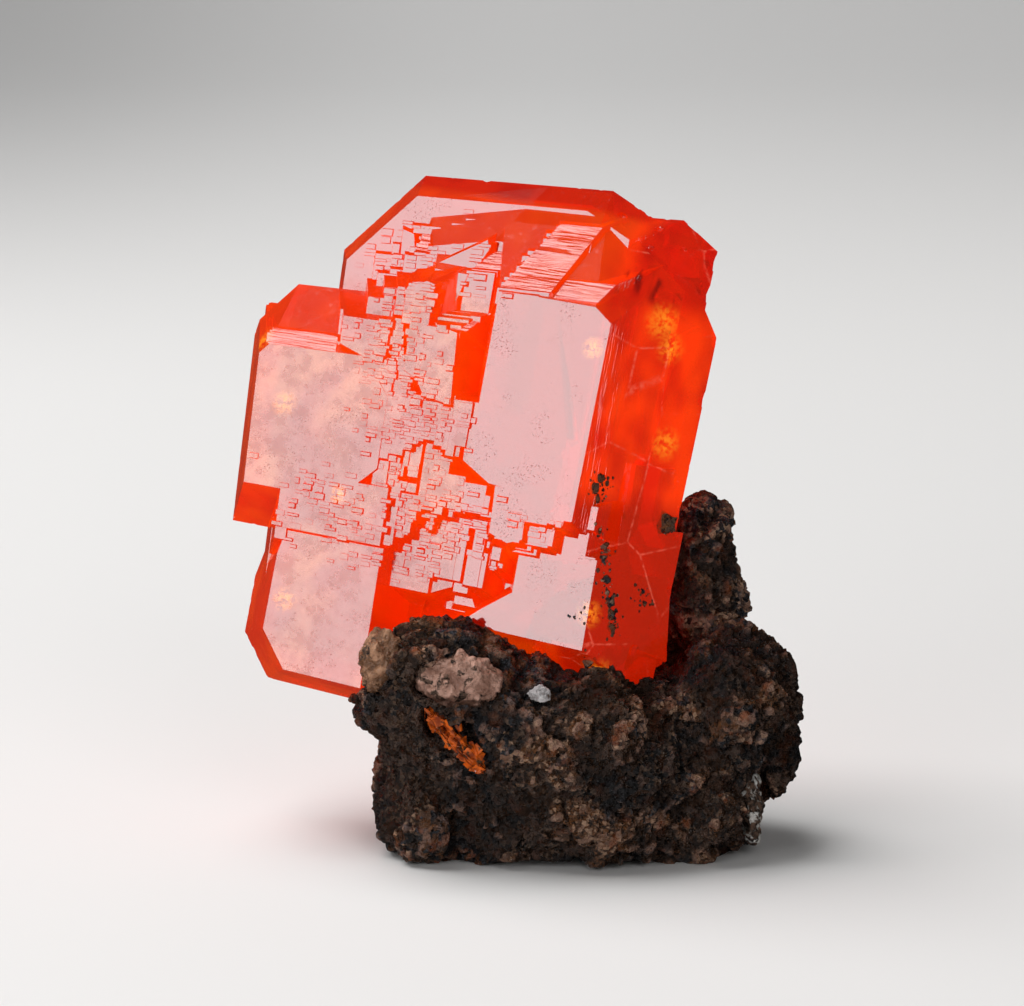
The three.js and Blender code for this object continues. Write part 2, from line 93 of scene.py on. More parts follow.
def set_points(mesh, points):
    """Moves the mesh's points to the rows of an array."""
    mesh.vertices.foreach_set("co", points.ravel())
    mesh.update()


def joined_copy(name, node_name):
    """A copy of a solid of the frame, in millimetres, with points that lie together merged."""
    made = bpy.data.objects.new(name, nodes[node_name].data.copy())
    bpy.context.scene.collection.objects.link(made)
    made.data.materials.clear()
    made.data.transform(Matrix.Scale(1 / MM, 4))
    weld = made.modifiers.new("weld", "WELD")
    weld.merge_threshold = 0.001
    apply_modifiers(made)
    return made


def apply_modifiers(made):
    """Puts what the modifiers make into the object's own mesh."""
    graph = bpy.context.evaluated_depsgraph_get()
    mesh = bpy.data.meshes.new_from_object(made.evaluated_get(graph))
    made.modifiers.clear()
    made.data = mesh


def repeated_faces(faces, count, points_each):
    """The faces of one shape, numbered again for each of `count` copies of its points."""
    first_points = np.arange(count) * points_each
    return (first_points[:, None, None] + faces).reshape(-1, faces.shape[1])


print("triangles of the crystal's solid:", len(nodes["wulfenite_crystal"].data.polygons))

# %% [markdown]
# The specimen stands on a seamless sheet of pale paper that curves up far behind it, so that no
# edge shows. The sheet is a profile of two lines and an arc, carried from left to right.
# %% Backdrop
FLOOR_FRONT = -900 * MM
FLOOR_BACK = 420 * MM
BEND = 300 * MM
BEND_STEPS = 24
WALL_TOP = 900 * MM
HALF_WIDTH = 1200 * MM


def seamless_sheet():
    """Profile: straight floor, a quarter circle of radius BEND, straight wall; swept along X."""
    turn = np.linspace(0, math.pi / 2, BEND_STEPS)
    arc = np.column_stack([FLOOR_BACK + BEND * np.sin(turn), BEND * (1 - np.cos(turn))])
    profile = np.vstack([[FLOOR_FRONT, 0], arc, [FLOOR_BACK + BEND, WALL_TOP]])
    across = np.linspace(-HALF_WIDTH, HALF_WIDTH, 3)
    count = len(profile)
    points = np.column_stack([np.repeat(across, count), np.tile(profile, (3, 1))])
    first = (np.arange(2)[:, None] * count + np.arange(count - 1)).ravel()
    faces = np.column_stack([first, first + count, first + count + 1, first + 1])
    return object_from_arrays("paper", points, faces)


paper = seamless_sheet()
print("faces of the paper:", len(paper.data.polygons))

# %% [markdown]
# The large flat faces of the crystal mirror one big soft panel at the front left, which gives
# them their pale sheen. A second panel at the right fills the shadows, and a wide one overhead
# lights the paper and the rock.
# %% Lights
ROOM_COLOUR = (0.80, 0.81, 0.83, 1)
ROOM_STRENGTH = 0.03


def soft_lamp(name, direction, distance, side, radiance):
    """A square glowing panel that faces the specimen; its power follows from its brightness."""
    lamp = bpy.data.lights.new(name, "AREA")
    lamp.shape = "SQUARE"
    lamp.size = side
    lamp.energy = radiance * math.pi * side ** 2
    made = bpy.data.objects.new(name, lamp)
    towards = Vector(direction).normalized()
    made.location = VIEW_TARGET + towards * distance
    made.rotation_euler = towards.to_track_quat("Z", "Y").to_euler()
    bpy.context.scene.collection.objects.link(made)
    print(name, "gives", round(lamp.energy, 2), "watts")
    return made


soft_lamp("panel_front_left", (-0.58, -0.77, 0.26), 0.42, 0.22, 3.0)
fill = soft_lamp("panel_front_right", (0.30, -0.85, 0.42), 0.60, 0.30, 2.4)
above = soft_lamp("panel_above", (-0.36, 0.16, 0.75), 0.75, 0.66, 5.4)
# These are left out of the mirror images, as a polarising filter would do.
for hidden in (fill, above, paper):
    hidden.visible_glossy = False

world = bpy.data.worlds.new("room")
world.use_nodes = True
room = world.node_tree.nodes["Background"]
room.inputs["Color"].default_value = ROOM_COLOUR
room.inputs["Strength"].default_value = ROOM_STRENGTH
bpy.context.scene.world = world
bpy.context.scene.view_settings.view_transform = "Standard"

# %% [markdown]
# Rough stone needs lumps of many sizes. They come from smooth random fields in space, worked out
# for all points at once: value noise for swellings, and scattered cells for grains and pits.
# %% Random fields
def lattice(cell, seed):
    """A fixed random number from 0 to 1 for each whole-numbered cell of space.

    The large factors and the shifts only scramble the bits of the cell's three numbers.
    """
    parts = cell.astype(np.int64)
    mixed = parts[..., 0] * 374761393 + parts[..., 1] * 668265263 + parts[..., 2] * 2147483647
    mixed = (mixed + seed * 1274126177) & 0xFFFFFFFF
    mixed = ((mixed ^ (mixed >> 13)) * 1274126177) & 0xFFFFFFFF
    mixed = ((mixed ^ (mixed >> 16)) * 668265263) & 0xFFFFFFFF
    return ((mixed ^ (mixed >> 15)) & 0xFFFFFF) / 0xFFFFFF


def swell(points, size, seed):
    """Value noise: random corner values of a cubic lattice, blended smoothly; from -1 to 1."""
    at = points / size
    base = np.floor(at)
    part = at - base
    ease = part * part * (3 - 2 * part)
    total = np.zeros(len(points))
    for corner in np.ndindex(2, 2, 2):
        step = np.array(corner)
        weight = np.prod(np.where(step == 1, ease, 1 - ease), axis=1)
        total += weight * lattice(base + step, seed)
    return total * 2 - 1


def rough(points, size, octaves, seed):
    """Sum of value noises, each half the size and half the height of the one before."""
    layers = [swell(points, size / 2 ** i, seed + i) / 2 ** i for i in range(octaves)]
    return np.sum(layers, axis=0)


def grains(points, size, seed):
    """Scattered grains: how far a point is from its grain's edge, and the grain's own tone.

    Each cubic cell holds one seed point. The depth is the distance to the second nearest seed
    less that to the nearest, in cell sizes, and the tone is the nearest seed's random number.
    """
    at = points / size
    base = np.floor(at)
    nearest = np.full(len(points), 9.0)
    second = np.full(len(points), 9.0)
    tone = np.zeros(len(points))
    for offset in np.ndindex(3, 3, 3):
        cell = base + np.array(offset) - 1
        jitter = np.column_stack([lattice(cell, seed + axis) for axis in range(3)])
        gap = np.linalg.norm(cell + jitter - at, axis=1)
        second = np.minimum(second, np.maximum(gap, nearest))
        tone = np.where(gap < nearest, lattice(cell, seed + 3), tone)
        nearest = np.minimum(nearest, gap)
    return second - nearest, tone


print("a swell along a line:", swell(np.outer(np.arange(5), [1, 0, 0]), 2.0, 3).round(2))

# %% [markdown]
# The rock is the frame's solid, remeshed into even small faces and then pushed in and out by the
# random fields: clods of a few millimetres, grains under a millimetre, and a fine roughness.
# %% Rock
ROCK_FACE = 0.25        # millimetres between points
FOOT_HEIGHT = 1.6       # how far the hollows under the rock rise, in millimetres
FOOT_REACH = 1.2        # the underside is shaped up to this height

# Size of the grains, how much their middles swell and up to which depth, how far each is
# shifted as a whole, and the seed: clods, lumps and single grains.
ROCK_GRAINS = [
    (3.2, 0.60, 0.50, 0.70, 11),
    (1.5, 0.45, 0.40, 0.55, 23),
    (0.75, 0.30, 0.35, 0.30, 41),
]


def remeshed(name, node_name, face):
    """A copy of a frame solid, in millimetres, made of even square faces this size."""
    made = joined_copy(name, node_name)
    remesh = made.modifiers.new("even faces", "REMESH")
    remesh.mode = "VOXEL"
    remesh.voxel_size = face
    apply_modifiers(made)
    return made


def keep_values(mesh, name, values):
    """Stores one number for each point, for the piece's material to read."""
    layer = mesh.attributes.new(name, "FLOAT", "POINT")
    layer.data.foreach_set("value", values.astype(np.float32))


def rough_rock():
    """The rock pushed along its normals by clods, grains and fine roughness.

    push = swell + the sum over the grain layers of (swelling x depth + shift x (tone - 1/2)).
    Clods and lumps are read at bent places, so that their borders aren't straight.
    """
    rock = remeshed("rough_rock", "matrix", ROCK_FACE)
    points = values_of(rock.data.vertices, "co")
    bent = points + 0.5 * np.column_stack([rough(points, 2.5, 2, 5 + i) for i in range(3)])
    push = 0.45 * rough(points, 5.0, 2, 3) - 0.35
    for size, swelling, limit, shift, seed in ROCK_GRAINS:
        depth, tone = grains(bent if size > 1 else points, size, seed)
        push += swelling * np.minimum(depth, limit) + shift * (tone - 0.5)
    push += 0.12 * rough(points, 0.6, 2, 71)
    moved = points + values_of(rock.data.vertices, "normal") * push[:, None]
    foot = np.clip(1 - points[:, 2] / FOOT_REACH, 0, 1)
    lift = FOOT_HEIGHT * np.clip(rough(points, 7.0, 2, 91) * 1.3, 0, 1)
    moved[:, 2] = np.where(foot > 0, np.maximum(moved[:, 2], lift * foot), moved[:, 2])
    moved[:, 2] = np.maximum(moved[:, 2], 0)
    set_points(rock.data, moved * MM)
    keep_values(rock.data, "grain", tone)       # of the single grains, the last layer
    # How far each point lies pushed in, for the painted shade in the rock's crevices.
    keep_values(rock.data, "crevice", np.clip(1 - push / 0.5, 0, 1))
    print("rock faces:", len(rock.data.polygons))
    print("pushed from", push.min().round(2), "to", push.max().round(2), "mm")
    return rock


rock = rough_rock()
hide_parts("matrix")
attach(rock, "root")

# %% [markdown]
# The crystal has axes of its own: u to the right, v up and c straight out of its big square
# faces. It widens a little to the right and upwards, so places on it are given as they look from
# the front and are then mapped to the frame.
# %% Crystal axes
CRYSTAL_PLACE = Vector((-7.39, -3.99, 34.63)) * MM
CRYSTAL_TURN = (
    Matrix.Rotation(math.radians(78), 3, "X")
    @ Matrix.Rotation(math.radians(-9.1), 3, "Z")
    @ Matrix.Rotation(math.radians(-18), 3, "Y")
)
TURN_ARRAY = np.array(CRYSTAL_TURN)
SLANT = math.tan(math.radians(18))      # sideways shift of a level, seen from the front
WIDEN_U, WIDEN_V = 0.0032, 0.0026       # how the crystal widens along u and v, per millimetre
WALL_SPREAD = 0.449                     # growth walls run out by this much for each unit down
LOOK = (8.0, -14.0)                     # levels before and behind what is seen from the front


def own_axes(seen_u, v, c):
    """A reading in the crystal's own axes, in millimetres.

    It is stretched by 1 / (1 - WIDEN_U u - WIDEN_V v) and shifted sideways by c times SLANT.
    """
    stretch = 1 / (1 - WIDEN_U * seen_u - WIDEN_V * v)
    return np.stack([seen_u * stretch + SLANT * c, v * stretch, c], axis=-1)


def crystal_place(seen_u, v, c):
    """Readings as points of the frame, in millimetres: turned to the crystal's lean and moved."""
    return np.array(CRYSTAL_PLACE) / MM + own_axes(seen_u, v, c) @ TURN_ARRAY.T


def crystal_reading(points):
    """The reverse of crystal_place: columns u as seen, v and c, in millimetres."""
    own = (points - np.array(CRYSTAL_PLACE) / MM) @ TURN_ARRAY
    wide = own[:, 0] - SLANT * own[:, 2]
    shrink = 1 / (1 + WIDEN_U * wide + WIDEN_V * own[:, 1])
    return np.column_stack([wide * shrink, own[:, 1] * shrink, own[:, 2]])


def front_hits(surface, seen_u, v, look=LOOK):
    """Where a look from the front at each reading meets a surface: places and normals, or None."""
    starts, ends = (crystal_place(seen_u, v, np.full(len(v), level)) for level in look)
    rays = zip(starts, ends)
    return [surface.ray_cast(Vector(a), Vector(b - a).normalized())[:2] for a, b in rays]


print("the square faces look towards", TURN_ARRAY[:, 2].round(2))

# %% [markdown]
# A growth face is never one plane. It carries thin plates that stopped growing early, and their
# edges draw the fine red lines on the pale faces. Each plate is a low block with sloping walls.
# The plates of one layer stand on a jittered grid, so none touch, and a Boolean joins each layer.
# %% Thin growth plates
PLATE_CELL = np.array([1.25, 0.62])     # grid of one layer, in millimetres along u and v
PLATE_ROOT = 0.55                       # how far a plate reaches down into the crystal
PLATE_LAYERS = (0.13, 0.17, 0.10)       # thickness in each layer, times 0.4 to 1.3
PLATE_LOOK = (6.0, -6.0)                # levels between which plates are looked for
SPAN_U, SPAN_V = (-18, 22), (-23, 20)   # extent of the crystal's front along u and v
SQUARELY = 0.99                         # a face this close to square-on is a growth face

# Where plates gather: middle u and v, reach along u and v, and how likely a plate is there.
PLATE_ZONES = [
    (-2.0, 1.5, 3.6, 4.5, 0.75),
    (0.5, -7.5, 4.6, 4.5, 0.85),
    (-4.5, 8.0, 3.0, 4.0, 0.8),
    (-8.0, -7.5, 5.5, 2.6, 0.55),
    (-2.5, 13.5, 4.2, 3.2, 0.8),
    (9.5, -6.0, 4.0, 1.3, 0.35),
]


def plate_chance(u, v):
    """The highest of the zones' bell-shaped chances at each place."""
    chance = np.zeros(len(u))
    for middle_u, middle_v, reach_u, reach_v, likely in PLATE_ZONES:
        bell = np.exp(-((u - middle_u) / reach_u) ** 2 - ((v - middle_v) / reach_v) ** 2)
        chance = np.maximum(chance, likely * bell)
    return chance


def block_mesh(name, corners, root):
    """Blocks from their four top corners (u, v, level) and the level of each block's root.

    The four root corners lie straight below the top ones along c, moved outwards by
    WALL_SPREAD times the height, so that the walls slope like the crystal's own.
    """
    height = corners[:, :, 2] - root[:, None]
    roots = np.repeat(root[:, None], 4, axis=1)
    out_u = np.array([-1, 1, 1, -1]) * WALL_SPREAD * height
    out_v = np.array([-1, -1, 1, 1]) * WALL_SPREAD * height
    upper = crystal_place(corners[:, :, 0], corners[:, :, 1], corners[:, :, 2])
    # A reading keeps its place as seen from the front, so the roots are shifted to lie below.
    lower_u = corners[:, :, 0] + out_u + SLANT * height
    lower = crystal_place(lower_u, corners[:, :, 1] + out_v, roots)
    points = np.concatenate([upper, lower], axis=1).reshape(-1, 3)
    sides = np.array([
        [0, 1, 2, 3], [7, 6, 5, 4], [0, 4, 5, 1], [1, 5, 6, 2], [2, 6, 7, 3], [3, 7, 4, 0]])
    return object_from_arrays(name, points, repeated_faces(sides, len(root), 8), smooth=False)


def flat_tops(left, right, low, high, top):
    """Corners of level rectangles, counterclockwise from the lower left."""
    u = np.stack([left, right, right, left], axis=1)
    v = np.stack([low, low, high, high], axis=1)
    return np.stack([u, v, np.repeat(top[:, None], 4, axis=1)], axis=2)


def plate_layer(rng, surface, layer, thickness):
    """One layer of plates on the flat faces that a look along the view direction meets."""
    u, v = np.meshgrid(np.arange(*SPAN_U, PLATE_CELL[0]), np.arange(*SPAN_V, PLATE_CELL[1]))
    shift = rng.random(2)
    u = u.ravel() + PLATE_CELL[0] * shift[0]
    v = v.ravel() + PLATE_CELL[1] * shift[1]
    chosen = rng.random(len(u)) < plate_chance(u, v)
    u, v = u[chosen], v[chosen]
    outward = Vector(TURN_ARRAY[:, 2])
    level = np.full(len(u), np.nan)
    for i, (hit, normal) in enumerate(front_hits(surface, u, v, PLATE_LOOK)):
        if hit is not None and normal.dot(outward) > SQUARELY:
            level[i] = crystal_reading(np.array([hit]))[0, 2]
    flat = np.isfinite(level)
    u, v, level = u[flat], v[flat], level[flat]
    wide = PLATE_CELL[0] * rng.uniform(0.25, 0.85, len(u)) / 2
    tall = PLATE_CELL[1] * rng.uniform(0.25, 0.8, len(u)) / 2
    top = level + thickness * rng.uniform(0.4, 1.3, len(u))
    corners = flat_tops(u - wide, u + wide, v - tall, v + tall, top)
    print("plates in layer", layer, "are", len(u))
    return block_mesh(f"plates_{layer}", corners, level - PLATE_ROOT)


def boolean(target, operation, other):
    """Joins the other object to the target, or cuts it away, and removes the other object."""
    step = target.modifiers.new(operation, "BOOLEAN")
    step.operation = operation
    step.solver = "MANIFOLD"
    step.object = other
    apply_modifiers(target)
    mesh = target.data
    mesh.materials.clear()
    mesh.polygons.foreach_set("material_index", np.zeros(len(mesh.polygons), dtype=int))
    bpy.data.objects.remove(other)


def surface_of(made):
    """The object's surface in a form that rays can be sent at."""
    points = [p.co for p in made.data.vertices]
    faces = [list(f.vertices) for f in made.data.polygons]
    return BVHTree.FromPolygons(points, faces)

# %% [markdown]
# Six slopes at the top and left are too smooth for steps, and are added as slanting blocks. Then
# the plates follow, layer by layer, each layer on the faces that the one before has left.
# %% Ramps and plates
# Each ramp from its lower edge to its upper edge: left, right, v and level.
RAMPS = [
    ((3.8, 7.9, 12.87, 0.80), (7.7, 11.0, 18.1, -2.66)),
    ((1.35, 3.5, 14.2, -1.15), (2.75, 5.3, 16.1, -2.60)),
    ((-3.9, -1.3, 15.05, -2.38), (-3.2, 1.7, 16.7, -3.12)),
    ((-16.1, -9.6, 6.1, 1.02), (-15.8, -9.6, 7.5, 0.15)),
    ((-1.4, 1.6, 9.1, 1.32), (-0.35, 3.3, 10.8, -1.15)),
    ((8.2, 11.7, 12.45, 0.74), (9.0, 12.8, 13.9, -0.20)),
]
RAMP_ROOT = -4.5        # level of the blocks' roots

ramp_ends = np.array(RAMPS)
ramp_corners = np.stack([
    ramp_ends[:, 0, [0, 2, 3]], ramp_ends[:, 0, [1, 2, 3]],
    ramp_ends[:, 1, [1, 2, 3]], ramp_ends[:, 1, [0, 2, 3]],
], axis=1)

rng = np.random.default_rng(11)
crystal = joined_copy("crystal", "wulfenite_crystal")
boolean(crystal, "UNION", block_mesh("ramps", ramp_corners, np.full(len(RAMPS), RAMP_ROOT)))
for layer, thickness in enumerate(PLATE_LAYERS):
    boolean(crystal, "UNION", plate_layer(rng, surface_of(crystal), layer, thickness))
print("crystal faces with plates:", len(crystal.data.polygons))

# %% [markdown]
# The rim of a crystal is never whole. Small shell-shaped chips are cut from its sharp back rim,
# larger ones at the right, where the growth is broken.
# %% Chips in the rim
CHIP_COUNT = 190
CHIP_RADIUS = (0.25, 0.60)      # millimetres
RIM_LEVEL = -4.5                # chips are cut only behind this level
SHARP_EDGE = 0.5                # edges count as sharp from this angle on, in radians
BROKEN_FROM = 15                # u from which the chips grow larger
CLEARANCE = 1.25                # chips are farther apart than this times their two radii


def uneven_balls(name, middle, radius, squash, unevenness, lump, seed, unit=1.0, smooth=True):
    """Balls, squashed along x, y and z, whose radii vary with a random field of this lump size."""
    ball = bmesh.new()
    bmesh.ops.create_icosphere(ball, subdivisions=2, radius=1)
    shape = np.array([p.co for p in ball.verts]) * squash
    sides = np.array([[p.index for p in f.verts] for f in ball.faces])
    ball.free()
    points = (middle[:, None, :] + shape[None] * radius[:, None, None]).reshape(-1, 3)
    around = np.repeat(middle, len(shape), axis=0)
    points = around + (points - around) * (1 + unevenness * rough(points, lump, 3, seed))[:, None]
    faces = repeated_faces(sides, len(middle), len(shape))
    print(name, "has", len(middle), "balls")
    return object_from_arrays(name, points * unit, faces, smooth)


def chip_tool(rng, made):
    """Uneven balls set just outside sharp edges of the rim, so that each takes a shallow bite."""
    graph = bmesh.new()
    graph.from_mesh(made.data)
    pairs = [e for e in graph.edges if len(e.link_faces) == 2]
    sharp = [e for e in pairs if e.calc_face_angle_signed() > SHARP_EDGE]
    ends = np.array([[e.verts[0].co, e.verts[1].co] for e in sharp])
    outward = np.array([sum((f.normal for f in e.link_faces), Vector()).normalized() for e in sharp])
    graph.free()
    length = np.linalg.norm(ends[:, 1] - ends[:, 0], axis=1)
    behind = crystal_reading(ends.mean(axis=1))[:, 2] < RIM_LEVEL
    weight = np.where(behind, length, 0)
    pick = rng.choice(len(length), CHIP_COUNT * 3, p=weight / weight.sum())
    part = rng.random(len(pick))[:, None]
    at = ends[pick, 0] * (1 - part) + ends[pick, 1] * part
    right = np.clip((crystal_reading(at)[:, 0] - BROKEN_FROM) / 3, 0, 1)
    size = rng.uniform(*CHIP_RADIUS, len(pick)) * (1 + 2.6 * right * rng.random(len(pick)))
    middle = at + outward[pick] * size[:, None] * rng.uniform(0.55, 0.9, len(pick))[:, None]
    kept = []
    for i in range(len(pick)):
        gaps = np.linalg.norm(middle[kept] - middle[i], axis=1)
        if len(kept) < CHIP_COUNT and np.all(gaps > (size[i] + size[kept]) * CLEARANCE):
            kept.append(i)
    return uneven_balls("chips", middle[kept], size[kept], 1.0, 0.22, 0.9, 7, smooth=False)


boolean(crystal, "DIFFERENCE", chip_tool(rng, crystal))
crystal_surface = surface_of(crystal)

# %% [markdown]
# The crystal's sloping faces are never smooth: they are stacks of fine ledges, too thin to model.
# Here each face only gets a number that says how much of it is ledges, for the material to read.
# %% Share of ledges
RAMP_SHARE = 0.95       # how much of a ramp is ledges
SLOPE_SHARE = 0.05      # and of the other slopes that look up
RAMP_GAP = 0.05         # a face belongs to a ramp if it is this close to it, in millimetres


def ledge_values(mesh):
    """How much of a sloping face is fine ledges: most on the ramps, a little on other upper slopes.

    A face lies on a ramp if its middle, read from the front, lies between the ramp's two sides
    and close to the ramp's level at that height.
    """
    u, v, c = crystal_reading(values_of(mesh.polygons, "center")).T
    own_normal = values_of(mesh.polygons, "normal") @ TURN_ARRAY
    values = np.where(own_normal[:, 1] > 0.35, SLOPE_SHARE, 0.0)
    for low_end, high_end in ramp_ends:
        part = (v - low_end[2]) / (high_end[2] - low_end[2])
        left, right, _, level = (low_end + (high_end - low_end) * part[:, None]).T
        inside = (part > 0) & (part < 1) & (u > left) & (u < right)
        values[inside & (np.abs(c - level) < RAMP_GAP)] = RAMP_SHARE
    return values


ledge_layer = crystal.data.attributes.new("ledges", "FLOAT", "FACE")
ledge_layer.data.foreach_set("value", ledge_values(crystal.data).astype(np.float32))
crystal.data.transform(Matrix.Scale(MM, 4))
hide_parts("wulfenite_crystal")
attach(crystal, "root")
print("crystal faces:", len(crystal.data.polygons))

# %% [markdown]
# Materials are built from a few small helpers, each of which adds one or two nodes to a tree.
# Where a helper takes a value, that is a plain number, place or colour, or another node's output.
# %% Material helpers
def new_material(name):
    """A new material, its node tree and its main shader node."""
    material = bpy.data.materials.new(name)
    material.use_nodes = True
    tree = material.node_tree
    return material, tree, tree.nodes["Principled BSDF"]


def finish_with(piece, material):
    """Gives a piece its material."""
    piece.data.materials.append(material)
    print(piece.name, "has a material of", len(material.node_tree.nodes), "nodes")


def feed(tree, socket, value):
    """Links a socket to another node's output, or sets it to a number, place or colour."""
    if isinstance(value, bpy.types.NodeSocket):
        tree.links.new(value, socket)
    elif socket.type == "RGBA":
        socket.default_value = (*value, 1)
    else:
        socket.default_value = value


def feed_all(tree, node, values):
    """Feeds several sockets of a node, given by name."""
    for name, value in values.items():
        feed(tree, node.inputs[name], value)


def texture_place(tree):
    """Object coordinates in metres."""
    return tree.nodes.new("ShaderNodeTexCoord").outputs["Object"]


def axes_of(tree, place):
    """The x, y and z of a place."""
    parts = tree.nodes.new("ShaderNodeSeparateXYZ")
    tree.links.new(place, parts.inputs["Vector"])
    return tuple(parts.outputs)


def calculate(tree, operation, first, second):
    """One calculation with two values, such as ADD or MAXIMUM."""
    node = tree.nodes.new("ShaderNodeMath")
    node.operation = operation
    feed(tree, node.inputs[0], first)
    feed(tree, node.inputs[1], second)
    return node.outputs["Value"]


def times(tree, product, *values):
    """The product of two or more values."""
    for value in values:
        product = calculate(tree, "MULTIPLY", product, value)
    return product


def vector_math(tree, operation, **values):
    """One calculation with vectors, from the inputs `a`, `b` and `scale`."""
    node = tree.nodes.new("ShaderNodeVectorMath")
    node.operation = operation
    sockets = {"a": node.inputs[0], "b": node.inputs[1], "scale": node.inputs[3]}
    for name, value in values.items():
        feed(tree, sockets[name], value)
    single = operation in ("DOT_PRODUCT", "DISTANCE")
    return node.outputs["Value" if single else "Vector"]


def ramp(tree, value, low, high):
    """Spreads the part of a value between low and high smoothly over 0 to 1."""
    node = tree.nodes.new("ShaderNodeMapRange")
    node.interpolation_type = "SMOOTHSTEP"
    feed_all(tree, node, {"Value": value, "From Min": low, "From Max": high})
    return node.outputs["Result"]


def noise(tree, place, feature, detail, roughness, stretch=None, output="Fac"):
    """Noise whose features are about `feature` metres across, in coordinates times `stretch`."""
    if stretch is not None:
        place = vector_math(tree, "MULTIPLY", a=place, b=stretch)
    node = tree.nodes.new("ShaderNodeTexNoise")
    values = {"Vector": place, "Scale": 1 / feature, "Detail": detail, "Roughness": roughness}
    feed_all(tree, node, values)
    return node.outputs[output]


def noise_mask(tree, place, feature, detail, roughness, low, high, stretch=None):
    """Noise of which the part between low and high is spread over 0 to 1."""
    return ramp(tree, noise(tree, place, feature, detail, roughness, stretch), low, high)


def blend(tree, mask, first, second, kind="RGBA"):
    """The first colour, or vector, where the mask is 0 and the second where it is 1."""
    node = tree.nodes.new("ShaderNodeMix")
    node.data_type = kind
    feed_all(tree, node, {"Factor": mask, "A": first, "B": second})
    return node.outputs["Result"]


def layered(tree, colour, layers):
    """Colours laid over the first one in turn, each where its own mask is 1."""
    for mask, over in layers:
        colour = blend(tree, mask, colour, over)
    return colour


def stored_value(tree, name):
    """A number that the piece's mesh stores for each point or face."""
    node = tree.nodes.new("ShaderNodeAttribute")
    node.attribute_name = name
    return node.outputs["Fac"]


def bump(tree, height, depth, normal=None):
    """A normal that follows a height from 0 to 1, `depth` metres deep."""
    node = tree.nodes.new("ShaderNodeBump")
    feed_all(tree, node, {"Height": height, "Distance": depth})
    if normal is not None:
        tree.links.new(normal, node.inputs["Normal"])
    return node.outputs["Normal"]

# %% [markdown]
# The paper is pale, and painted shade makes it greyer towards its far end and its left corner,
# as a long sheet looks when the light falls on the near part.
# %% Paper finish
def paper_finish():
    """Pale paper with two broad areas of painted shade; the ramps' limits are metres along y and x."""
    material, tree, shader = new_material("paper")
    x, y, _ = axes_of(tree, texture_place(tree))
    # Painted shade: greyer towards the far end, and greyer still at the far left.
    far = ramp(tree, y, 0.18, 0.50)
    left = times(tree, ramp(tree, x, 0.01, -0.09), far)
    layers = [(far, (0.60, 0.595, 0.59)), (left, (0.38, 0.377, 0.374))]
    colour = layered(tree, (0.80, 0.79, 0.78), layers)
    feed_all(tree, shader, {"Base Color": colour, "Roughness": 0.9})
    return material


finish_with(paper, paper_finish())

# %% [markdown]
# The look of the crystal changes over its faces. Each change has a mask, a value from 0 to 1: the
# square faces are flat, the clean terraces are mirrors, and the broken mass at the right is deep.
# %% Masks on the crystal
# Spots of painted shade, streaks for shaded hollows that the mesh lacks, and spots of painted glow, where
# light shines through thin veils: u as seen, v and radius in mm.
HOLLOW_SHADE_SPOTS = [(15.4, 14.0, 2.0), (14.4, 14.9, 1.5), (16.6, 13.2, 1.4)]
PAINTED_GLOW_SPOTS = [
    (-13.8, 1.2, 1.4), (-16.5, 6.3, 1.6), (-11.3, -16.2, 1.4), (-7.5, -5.9, 1.1), (15.9, -11.9, 1.5),
    (16.9, 11.6, 2.0), (18.0, 9.8, 1.8), (17.3, -16.3, 1.6), (12.0, 9.0, 1.2), (19.0, 2.6, 1.8),
]


def crystal_coordinates(tree):
    """Coordinates along the crystal's own axes, in metres."""
    mapping = tree.nodes.new("ShaderNodeMapping")
    mapping.vector_type = "TEXTURE"
    turn = CRYSTAL_TURN.to_euler("XYZ")
    values = {"Vector": texture_place(tree), "Location": CRYSTAL_PLACE, "Rotation": turn}
    feed_all(tree, mapping, values)
    return mapping.outputs["Vector"]


def facing(tree, axis, low, high):
    """How squarely a face looks along this axis of the crystal: 0 below low and 1 above high."""
    normal = tree.nodes.new("ShaderNodeNewGeometry").outputs["True Normal"]
    dot = vector_math(tree, "DOT_PRODUCT", a=normal, b=CRYSTAL_TURN @ Vector(axis))
    return ramp(tree, dot, low, high)


def spots(tree, place, readings):
    """Soft round spots on the surface: 1 in the middle of each and 0 from its edge on."""
    total = 0.0
    for seen_u, v, radius in readings:
        hit = front_hits(crystal_surface, np.array([seen_u]), np.array([v]))[0][0]
        level = crystal_reading(np.array([hit]))[0, 2]
        middle = Vector(own_axes(seen_u, v, level)) * MM
        gap = vector_math(tree, "DISTANCE", a=place, b=middle)
        total = calculate(tree, "MAXIMUM", total, ramp(tree, gap, radius * MM, 0.0))
    return total


def cell_borders(tree, place, size):
    """How far a point is from the nearest border between random cells, in cell sizes."""
    cells = tree.nodes.new("ShaderNodeTexVoronoi")
    cells.feature = "DISTANCE_TO_EDGE"
    feed_all(tree, cells, {"Vector": place, "Scale": 1 / size})
    return cells.outputs["Distance"]


